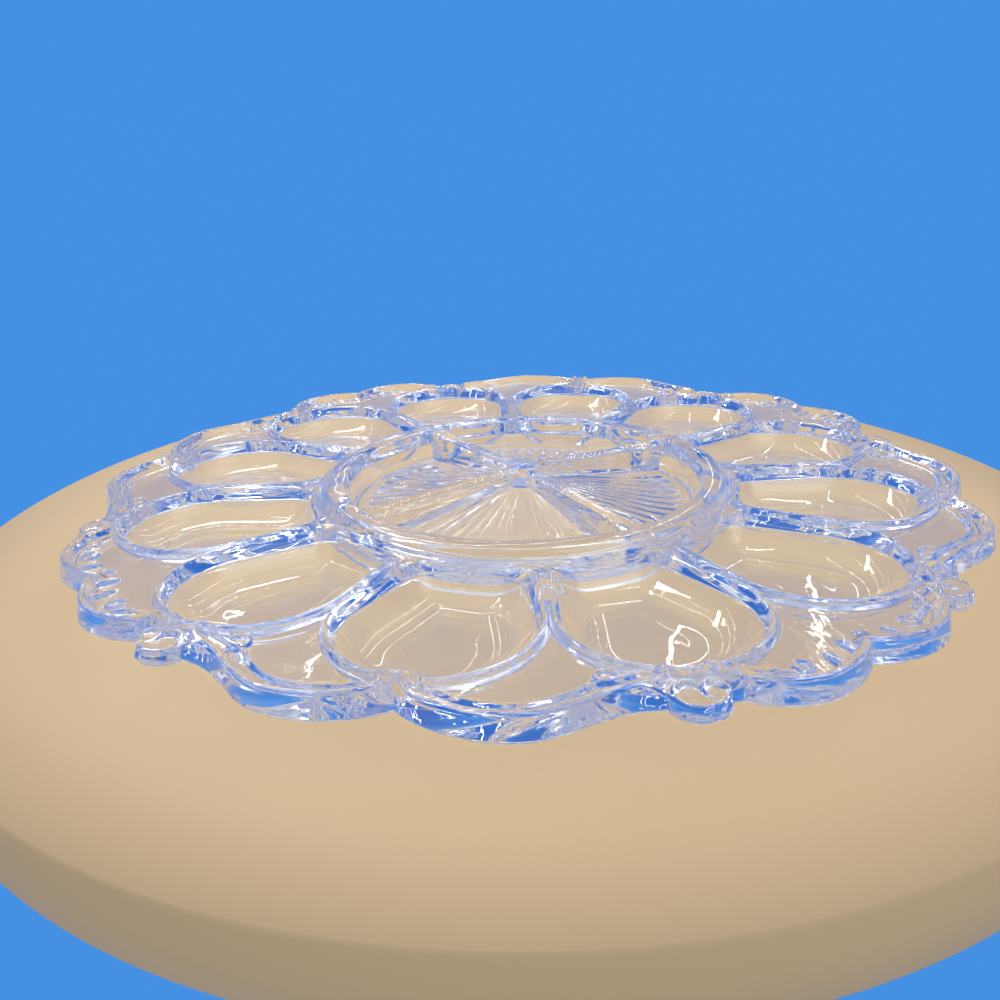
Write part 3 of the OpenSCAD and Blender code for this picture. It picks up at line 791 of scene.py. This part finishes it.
def glass_material(slot):
    """Clear pressed glass: refracting, with a fire-polished ripple. Shadow rays and diffuse rays go straight
    through, so that the floor below is lit softly, with a faint tinted shadow."""
    name = slot.replace("glass", "pressed_glass")
    if name in bpy.data.materials:
        return bpy.data.materials[name]
    look, glass = FINISHES[slot], bpy.context.scene.platter_glass
    material, tree = new_material(name)
    tree.nodes.clear()
    body = add_node(tree, "BsdfPrincipled", Metallic=0.0, Transmission_Weight=1.0, IOR=1.5)
    fill(body, Base_Color=(*glass.tint, 1.0))
    ripple = add_node(tree, "Group")
    ripple.node_tree = ripple_group()
    fill(ripple, Ripple_size=look["ripple"], Streak_size=look["streak"])
    fill(ripple, Roughness_low=look["rough"][0], Roughness_high=look["rough"][1])
    bump = add_node(tree, "Bump", Strength=look["bump"], Distance=MM)
    wire(
        tree,
        (ripple, "Height", bump, "Height"),
        (bump, "Normal", body, "Normal"),
        (ripple, "Roughness", body, "Roughness"),
    )
    clear = add_node(tree, "BsdfTransparent", Color=(*glass.shade, 1.0))
    split_by_ray(tree, ("Is Shadow Ray", "Is Diffuse Ray"), body, clear, "OutputMaterial")
    return material


def seam_material():
    """The face between two parts of the pressing, where there is no surface: fully clear."""
    name = "glass_joined"
    if name in bpy.data.materials:
        return bpy.data.materials[name]
    material, tree = new_material(name)
    fill(tree.nodes["Principled BSDF"], Base_Color=(1.0, 1.0, 1.0, 1.0), Alpha=0.0, Roughness=0.0)
    return material


# Wells, ring and dish

class PLATTER_OT_wells(bpy.types.Operator):
    """Make the twelve egg wells"""
    bl_idname = "platter.wells"
    bl_label = "Egg Wells"

    def execute(self, context):
        """Rows run out from a point of the floor: three over the floor, then at even distances from the
        outline up the wall and over the lip. The first well is turned to each place."""
        s = sizes()
        turn = np.linspace(0, 2 * math.pi, fine(240), endpoint=False)
        outs = np.concatenate([np.linspace(-13.4, -0.6, fine(33)), np.linspace(-0.3, s.lip_w, fine(9))])
        rows = [well_edge(s, turn, out) for out in outs]
        far = np.stack([rows[0] * share for share in (0.2, 0.45, 0.75)] + rows, 1)
        px, py = far * np.sin(turn)[:, None], -(WELL_FLOOR_R + far * np.cos(turn)[:, None])
        for k in range(WELLS):
            at = math.radians(WELL_STEP * k)
            cos, sin = math.cos(at), math.sin(at)
            points, normals = section(s, cos * px - sin * py, sin * px + cos * py)
            poles = pole_points(s, sin * WELL_FLOOR_R, -cos * WELL_FLOOR_R)
            turned(f"egg_well_{k + 1:02d}", points, normals, poles, "glass_wells")
        return {"FINISHED"}


class PLATTER_OT_dividers(bpy.types.Operator):
    """Make the twelve bars of glass between the wells"""
    bl_idname = "platter.dividers"
    bl_label = "Well Dividers"

    def execute(self, context):
        """At each radius a divider reaches to the lips of the wells on both sides. Rows lie closer over the
        first stretch, where the divider rises from the collar."""
        s = sizes()
        bend, middle = s.collar_r + 2.6, WELL_STEP / 2
        first = np.linspace(s.collar_r, bend, fine(12), endpoint=False)
        rows = np.concatenate([first, np.linspace(bend, s.split_r, fine(70))])

        def in_lip(turn):
            """True where a row's point lies within the lip of the well beside it."""
            return well_distance(s, *spot(rows, turn))[0] < s.lip_w

        half = middle - halve(np.zeros_like(rows), np.full_like(rows, middle), in_lip)
        across = np.linspace(1, -1, fine(17))
        for k in range(WELLS):
            x, y = spot(rows[:, None], WELL_STEP * k + middle + half[:, None] * across[None, :])
            block(s, f"well_divider_{k + 1:02d}", x, y, "glass_wells")
        return {"FINISHED"}


def make_ring(s, turn):
    """The ring's sections run out over its top to the wells' lips or the collar's edge, and back below past
    the seat of the foot."""
    def on_collar(far):
        """True where the point lies outside every lip."""
        return well_distance(s, *spot(far, turn))[0] >= s.lip_w

    edge = halve(np.full_like(turn, s.ring_r), np.full_like(turn, s.collar_r + s.lip_w), on_collar)
    edge = np.minimum(edge, s.collar_r)
    bend = s.ring_r + 0.55
    tail = bend + (edge[:, None] - bend) * np.linspace(0, 1, fine(12))[None, 1:]

    def places(fixed):
        """Places at fixed radii as far as the bend, and from there on to the edge."""
        radii = np.concatenate([np.broadcast_to(fixed, (len(turn), len(fixed))), tail], 1)
        return spot(radii, turn[:, None])

    top, up = surface(s, top_height, *places(np.linspace(s.dish_r, bend, fine(46))), 1)
    seat, hair = 9, 0.002
    inner, outer = np.linspace(s.dish_r, s.foot_in, seat), np.linspace(s.foot_r - hair, bend, fine(14))
    low, down = surface(s, under_height, *places(np.concatenate([inner, [s.foot_in + hair], outer])), -1)
    low[:, seat:seat + 2, 2] = s.foot_h
    low[:, seat:seat + 2, :2] = np.stack(spot(np.array([s.foot_in, s.foot_r]), turn[:, None]), -1)
    down[:, seat:seat + 2] = (0, 0, -1)
    points, normals = np.concatenate([top, low[:, ::-1]], 1), np.concatenate([up, down[:, ::-1]], 1)
    m, total = top.shape[1], points.shape[1]
    seam = seams(total, m - 1, total - 1, total - seat - 2, total - seat - 1)
    ringed("raised_ring", points, normals, seam, "glass_dish")


def make_foot(s, turn):
    """The foot's section is a rectangle with two rounded lower corners."""
    bow, bow_r = np.linspace(0, 90, 7), 0.9
    part_way = (s.foot_h - 1.4, bow_r + 1)
    across, below = bow_r * np.cos(np.radians(bow)), bow_r * np.sin(np.radians(bow))
    line = [(s.foot_in, s.foot_h), (s.foot_r, s.foot_h), *[(s.foot_r, z) for z in part_way]]
    line += zip(s.foot_r - bow_r + across, bow_r - below)
    line += zip(s.foot_in + bow_r - below, bow_r - across)
    line = np.array(line + [(s.foot_in, s.dish_z - s.dish_t)])
    x, y = spot(line[None, :, 0], turn[:, None])
    points = np.stack([x, y, np.broadcast_to(line[:, 1], x.shape)], -1)
    lean = np.radians(np.concatenate([[0, 0, 0, 0], -bow, -90 - bow, [180]]))
    nx, ny = spot(np.cos(lean)[None, :], turn[:, None])
    normals = np.stack([nx, ny, np.broadcast_to(np.sin(lean), nx.shape)], -1)
    ringed("foot_ring", points, normals, seams(len(line), 0, -1), "glass_foot")


class PLATTER_OT_ring(bpy.types.Operator):
    """Make the raised ring with its collar, and the foot below it"""
    bl_idname = "platter.ring"
    bl_label = "Ring and Foot"

    def execute(self, context):
        """Both are carried once round, with the same number of sections."""
        s = sizes()
        turn = np.linspace(0, 360, fine(900), endpoint=False)
        make_ring(s, turn)
        make_foot(s, turn)
        return {"FINISHED"}


class PLATTER_OT_dish(bpy.types.Operator):
    """Make the centre dish: four fluted compartments, four notched ribs and the boss"""
    bl_idname = "platter.dish"
    bl_label = "Centre Dish"

    def execute(self, context):
        """A compartment spans the angle between the sides of two ribs at each radius. A rib keeps its width
        from the boss to the ring. The boss is turned."""
        s = sizes()
        rows = np.linspace(s.boss_r, s.dish_r, fine(104))
        side = np.linspace(1, -1, fine(180))
        half = 45.0 - np.degrees(np.arcsin(s.rib_w / 2 / rows))
        slim = np.linspace(s.rib_w / 2, -s.rib_w / 2, fine(25))
        long = np.linspace(s.boss_r, s.dish_r, fine(330))
        for k in range(QUARTERS):
            x, y = spot(rows[:, None], 90 * k + half[:, None] * side[None, :])
            block(s, f"centre_dish_{k + 1}", x, y, "glass_dish")
            turn = 90 * k + 45 + np.degrees(np.arcsin(slim[None, :] / long[:, None]))
            x, y = spot(long[:, None], turn)
            block(s, f"centre_rib_{k + 1}", x, y, "glass_dish")
        turn = np.linspace(0, 360, fine(160), endpoint=False)
        far = np.linspace(0, s.boss_r, fine(24))[1:]
        x, y = spot(far[None, :], turn[:, None])
        turned("centre_boss", *section(s, x, y), pole_points(s, 0.0, 0.0), "glass_dish")
        return {"FINISHED"}


# Rim

def rim_inside(s, a):
    """Inner edge of the rim: the lip of the nearest well, or the circle where the lips part."""
    w = np.radians(a - WELL_STEP * np.round(a / WELL_STEP))
    reach = s.big_r + s.lip_w
    lip = s.big_x * np.cos(w) + np.sqrt(np.clip(reach ** 2 - (s.big_x * np.sin(w)) ** 2, 0, None))
    return np.maximum(np.where(s.big_x * np.abs(np.sin(w)) < reach, lip, 0.0), s.split_r)


def edge_curve(s, a, steps):
    """The rim's outer face at each angle: over a quarter oval from the crown of the bead, down a leaning
    face, and under a smaller quarter oval to the underside. Both ovals keep to their share of the height."""
    outline, square = rim_radius(s, a), rim_square(s, a)
    x, y = spot(outline - FACE_START * square, a)
    high = top_height(s, x, y)[:, None]
    drop, foot = np.minimum(1.3, 0.5 * (high - s.rim_z)), np.minimum(1.1, 0.4 * (high - s.rim_z))
    t = np.radians(np.linspace(0, 90, steps))
    upper_in = FACE_LEAN + (FACE_START - FACE_LEAN) * (1 - np.sin(t))
    upper_z = high - drop * (1 - np.cos(t))
    lower_in = FACE_FOOT * (1 - np.cos(t))
    lower_z = s.rim_z + foot * (1 - np.sin(t))
    mid = np.linspace(0, 1, steps)[1:-1]
    face_in = FACE_LEAN * (1 - mid)
    face_z = (high - drop) * (1 - mid) + (s.rim_z + foot) * mid
    inset = np.concatenate([upper_in, face_in, lower_in])
    height = np.concatenate([upper_z, face_z, lower_z], 1)
    x, y = spot(outline[:, None] - inset[None, :] * square[:, None], a[:, None])
    return np.stack([x, y, height], -1)


# Number of rows over the rim's top, and over its underside
RIM_ROWS = fine(64)


def rim_sections(s, start, end, step):
    """Points and normals of the rim's sections between two angles. Rows over the top lie closer towards
    the outline."""
    a = np.linspace(start, end, max(3, int(round((end - start) / step)) + 1))
    outline, square = rim_radius(s, a), rim_square(s, a)
    share = (1 - np.linspace(0, 1, RIM_ROWS)) ** 1.45
    wide = outline - rim_inside(s, a)

    def rows(inset, height, way):
        """The top or the underside, from the rim's inner edge to a place inside the outline."""
        narrow = inset * square
        radii = outline[:, None] - (narrow[:, None] + (wide - narrow)[:, None] * share[None, :])
        return surface(s, height, *spot(radii, a[:, None]), way)

    top, up = rows(FACE_START, top_height, 1)
    low, down = rows(FACE_FOOT, under_height, -1)
    low[:, -1, 2] = s.rim_z
    steps, little = 8, 0.04
    face = edge_curve(s, a, steps)
    around = edge_curve(s, a + little, steps) - edge_curve(s, a - little, steps)
    side = np.cross(np.gradient(face, axis=1), around)
    side /= np.linalg.norm(side, axis=-1, keepdims=True) + 1e-12
    points = np.concatenate([top, face[:, 1:-1], low[:, ::-1]], 1)
    return points, np.concatenate([up, side[:, 1:-1], down[:, ::-1]], 1)


def rim_block(s, node, parts, step, slot):
    """One rim piece from one or more stretches that stand apart."""
    runs = [rim_sections(s, start, end, step) for start, end in parts]
    m = runs[0][0].shape[1]
    stretch(node, runs, seams(m, m - 1), RIM_ROWS, slot)


class PLATTER_OT_rim(bpy.types.Operator):
    """Make the scalloped rim: ogee lobes and plain lobes"""
    bl_idname = "platter.rim"
    bl_label = "Rim Lobes"

    def execute(self, context):
        """Each quarter has two ogee lobes beside a shell crest and two plain lobes beside a leaf spray."""
        s = sizes()
        near, far = SCROLL_AT - SCROLL_HALF, SCROLL_AT + SCROLL_HALF
        step = 0.2
        for k in range(QUARTERS):
            shell, leaf = 90 * k, 90 * k + LEAF_AT
            lobes = [(shell - near, shell - SHELL_HALF), (shell + SHELL_HALF, shell + near)]
            rim_block(s, f"ogee_rim_{k + 1}", lobes, step, "glass_rim")
            lobes = [(shell + far, leaf - LEAF_HALF), (leaf + LEAF_HALF, shell + 90 - far)]
            rim_block(s, f"leaf_rim_{k + 1}", lobes, step, "glass_rim")
        return {"FINISHED"}


class PLATTER_OT_ornament(bpy.types.Operator):
    """Make the shell crests, leaf sprays and scrolls of the rim"""
    bl_idname = "platter.ornament"
    bl_label = "Rim Ornament"

    def execute(self, context):
        """Each is the stretch of the rim that carries it, with closer rows for the finer forms."""
        s = sizes()
        step = 0.1
        for k in range(QUARTERS):
            shell, leaf = 90 * k, 90 * k + LEAF_AT
            places = [(f"shell_crest_{k + 1}", shell, SHELL_HALF), (f"leaf_spray_{k + 1}", leaf, LEAF_HALF)]
            places += [(f"rim_scroll_{2 * k + 1}", shell + SCROLL_AT, SCROLL_HALF)]
            places += [(f"rim_scroll_{2 * k + 2}", shell + 90 - SCROLL_AT, SCROLL_HALF)]
            for node, at, half in places:
                rim_block(s, node, [(at - half, at + half)], step, "glass_ornament")
        return {"FINISHED"}


# Stage

def floor_material(shade):
    """Plain matt material, faintly cloudy so that it reads as a surface."""
    material, tree = new_material("floor_plain")
    body = tree.nodes["Principled BSDF"]
    fill(body, Roughness=0.55, Specular_IOR_Level=0.15)
    place, noise = add_node(tree, "TexCoord"), add_node(tree, "TexNoise", Scale=6.0)
    ramp = ramp_node(tree, ((0.35, [c * 0.975 for c in shade]), (0.7, shade)))
    wire(tree, (place, "Object", noise, "Vector"), (noise, "Fac", ramp, "Fac"))
    wire(tree, (ramp, "Color", body, "Base Color"))
    return material


def lamp(name, place, aim, size, power, tint):
    """A soft rectangular lamp at a place, facing a point."""
    data = bpy.data.lights.new(name, "AREA")
    data.shape = "RECTANGLE"
    data.size, data.size_y = size
    data.energy = power
    data.color = tint
    made = add_object(name, data)
    made.location = place
    made.rotation_euler = (Vector(aim) - Vector(place)).to_track_quat("-Z", "Y").to_euler()


def make_floor(stage):
    """The floor is a turned plate with a rounded edge, just below the foot."""
    turn = np.linspace(0, 2 * math.pi, 256, endpoint=False)
    bow = np.radians(np.linspace(90, -90, 13))
    thick, round_r = 0.019, 0.0022
    edge = stage.floor_r - round_r + round_r * np.cos(bow)
    radii = np.concatenate([[0.02, 0.08, 0.15], edge, [0.1, 0.02]])
    bulge = np.sign(np.sin(bow)) * (1 - (1 - np.abs(np.sin(bow))) ** 0.6)
    rise = np.concatenate([[0, 0, 0], thick / 2 * (bulge - 1), [-thick, -thick]]) - FLOOR_GAP
    x, y = np.outer(np.sin(turn), radii), -np.outer(np.cos(turn), radii)
    points = np.stack([x, y, np.broadcast_to(rise, x.shape)], -1)
    index = np.arange(x.size).reshape(x.shape)
    faces = grid_faces(index, True, False).reshape(-1, 4).tolist()
    faces += [index[:, 0].tolist(), index[::-1, -1].tolist()]
    mesh = bpy.data.meshes.new("Floor")
    mesh.from_pydata(points.reshape(-1, 3).tolist(), [], faces)
    mesh.polygons.foreach_set("use_smooth", np.ones(len(mesh.polygons), bool))
    mesh.update()
    mesh.materials.append(floor_material(tuple(stage.floor_colour)))
    add_object("Floor", mesh)


def make_world(scene, stage):
    """The world shows the background to camera, glossy and transmission rays, by height: blue at eye
    level, deeper above it and pale overhead. To all other rays it is plain soft light."""
    world = bpy.data.worlds.new("Studio")
    scene.world = world
    world.use_nodes = True
    tree = world.node_tree
    tree.nodes.clear()
    soft = add_node(tree, "Background", Color=(0.93, 0.96, 1.0, 1.0), Strength=0.5)
    back = add_node(tree, "Background", Strength=1.0)
    sky, split = add_node(tree, "TexCoord"), add_node(tree, "SeparateXYZ")
    low, mid, high = stage.low_colour, stage.mid_colour, stage.high_colour
    ramp = ramp_node(tree, ((0.0, low), (0.14, low), (0.34, mid), (0.60, mid), (0.80, high)))
    wire(tree, (sky, "Generated", split, "Vector"), (split, "Z", ramp, "Fac"), (ramp, "Color", back, "Color"))
    kinds = ("Is Camera Ray", "Is Glossy Ray", "Is Transmission Ray")
    split_by_ray(tree, kinds, soft, back, "OutputWorld")


def make_camera(scene, stage):
    """The camera stands where the photograph was taken from, and is turned, tilted and rolled."""
    data = bpy.data.cameras.new("Camera")
    data.sensor_width = 36.0
    data.lens = stage.lens
    data.clip_start = 0.005
    camera = add_object("Camera", data)
    side = math.radians(stage.camera_side)
    far, up = stage.camera_far, stage.camera_up
    matrix = Matrix.Translation((far * math.sin(side), -far * math.cos(side), up))
    for angle, axis in ((stage.camera_turn, "Z"), (stage.camera_tilt, "X"), (stage.camera_roll, "Z")):
        matrix = matrix @ Matrix.Rotation(math.radians(angle), 4, axis)
    camera.matrix_world = matrix
    scene.camera = camera


class PLATTER_OT_stage(bpy.types.Operator):
    """Make the floor, the background, the lamps and the camera"""
    bl_idname = "platter.stage"
    bl_label = "Stage"

    def execute(self, context):
        """The key and fill lamps stand above. The narrow strips lie behind the platter and make the thin
        lines of light in its wells. Light may cross the glass many times."""
        scene, stage = context.scene, context.scene.platter_stage
        make_floor(stage)
        make_world(scene, stage)
        lamp("Key", (-0.45, 0.35, 0.75), (0, 0, 0), size=(0.5, 0.06), power=2.4, tint=(1.0, 0.99, 0.97))
        lamp("Fill", (0.55, -0.25, 0.8), (0, 0, 0), size=(0.6, 0.5), power=1.2, tint=(0.97, 0.985, 1.0))
        strip = dict(size=(0.005, 2.4), power=1.1, tint=(1.0, 0.98, 0.94))
        for n, x in enumerate((-0.85, -0.60, -0.32, 0.02, 0.28)):
            lamp(f"Strip_{n + 1}", (x, 1.3, 0.75), (x, 1.3, 0.0), **strip)
        make_camera(scene, stage)
        scene.view_settings.view_transform = "Standard"
        scene.cycles.max_bounces = 48
        scene.cycles.transmission_bounces = 48
        scene.cycles.glossy_bounces = 48
        scene.cycles.transparent_max_bounces = 96
        scene.cycles.caustics_refractive = False
        scene.cycles.caustics_reflective = False
        return {"FINISHED"}


class PLATTER_PT_panel(bpy.types.Panel):
    """Lists the platter's pieces and settings in the sidebar"""
    bl_label = "Egg Platter"
    bl_idname = "PLATTER_PT_panel"
    bl_space_type = "VIEW_3D"
    bl_region_type = "UI"
    bl_category = "Platter"

    def draw(self, context):
        layout = self.layout
        for operator in STEPS:
            layout.operator(operator.bl_idname)
        for name, _ in GROUPS:
            box = layout.box()
            group = getattr(context.scene, name)
            for key in group.bl_rna.properties.keys():
                if key not in ("rna_type", "name"):
                    box.prop(group, key)


STEPS = (
    PLATTER_OT_stage, PLATTER_OT_wells, PLATTER_OT_dividers, PLATTER_OT_ring,
    PLATTER_OT_dish, PLATTER_OT_rim, PLATTER_OT_ornament,
)
GROUPS = (
    ("platter_wells", PlatterWellSizes),
    ("platter_dish", PlatterDishSizes),
    ("platter_rim", PlatterRimSizes),
    ("platter_glass", PlatterGlassFinish),
    ("platter_stage", PlatterStageSettings),
)


def register():
    """Registers the classes and hangs the settings on the scene."""
    for name, group in GROUPS:
        bpy.utils.register_class(group)
        setattr(bpy.types.Scene, name, bpy.props.PointerProperty(type=group))
    for operator in STEPS:
        bpy.utils.register_class(operator)
    bpy.utils.register_class(PLATTER_PT_panel)


def unregister():
    """Takes the settings and classes away again."""
    bpy.utils.unregister_class(PLATTER_PT_panel)
    for operator in reversed(STEPS):
        bpy.utils.unregister_class(operator)
    for name, group in reversed(GROUPS):
        delattr(bpy.types.Scene, name)
        bpy.utils.unregister_class(group)


def main():
    register()
    bpy.ops.platter.stage()
    bpy.ops.platter.wells()
    bpy.ops.platter.dividers()
    bpy.ops.platter.ring()
    bpy.ops.platter.dish()
    bpy.ops.platter.rim()
    bpy.ops.platter.ornament()


if __name__ == "__main__":
    main()
